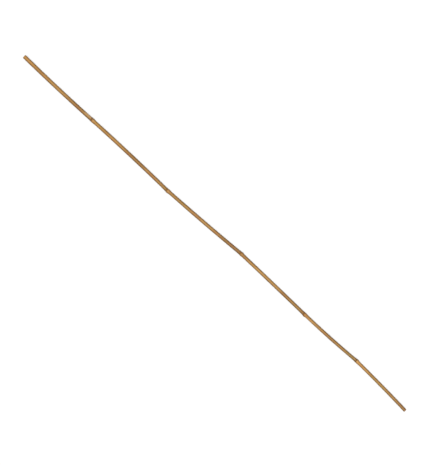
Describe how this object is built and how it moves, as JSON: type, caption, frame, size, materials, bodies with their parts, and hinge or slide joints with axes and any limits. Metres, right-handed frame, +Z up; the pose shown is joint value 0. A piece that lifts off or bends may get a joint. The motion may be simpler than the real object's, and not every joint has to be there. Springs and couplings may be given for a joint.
{
  "type": "bamboo cane",
  "caption": "Slender natural bamboo garden cane with raised nodes and slight kinks, sawn square at both ends and lying on a surface.",
  "frame": {"origin": "middle of the cane's outline seen from above, on the surface that it lies on", "axes": "+X along the cane from its butt, the thick end, to its tip; +Z up from the surface; +Y sideways, in the plane of most of its kinks"},
  "size_m": [1.2, 0.0186, 0.0103],
  "materials": {
    "bamboo": "dried bamboo: smooth silica skin with a soft satin gloss, caramel brown mottled lengthwise, darker sheath scars at the nodes and matt fibrous sawn ends"
  },
  "bodies": {
    "root": {"cane": "bamboo"}
  },
  "joints": []
}
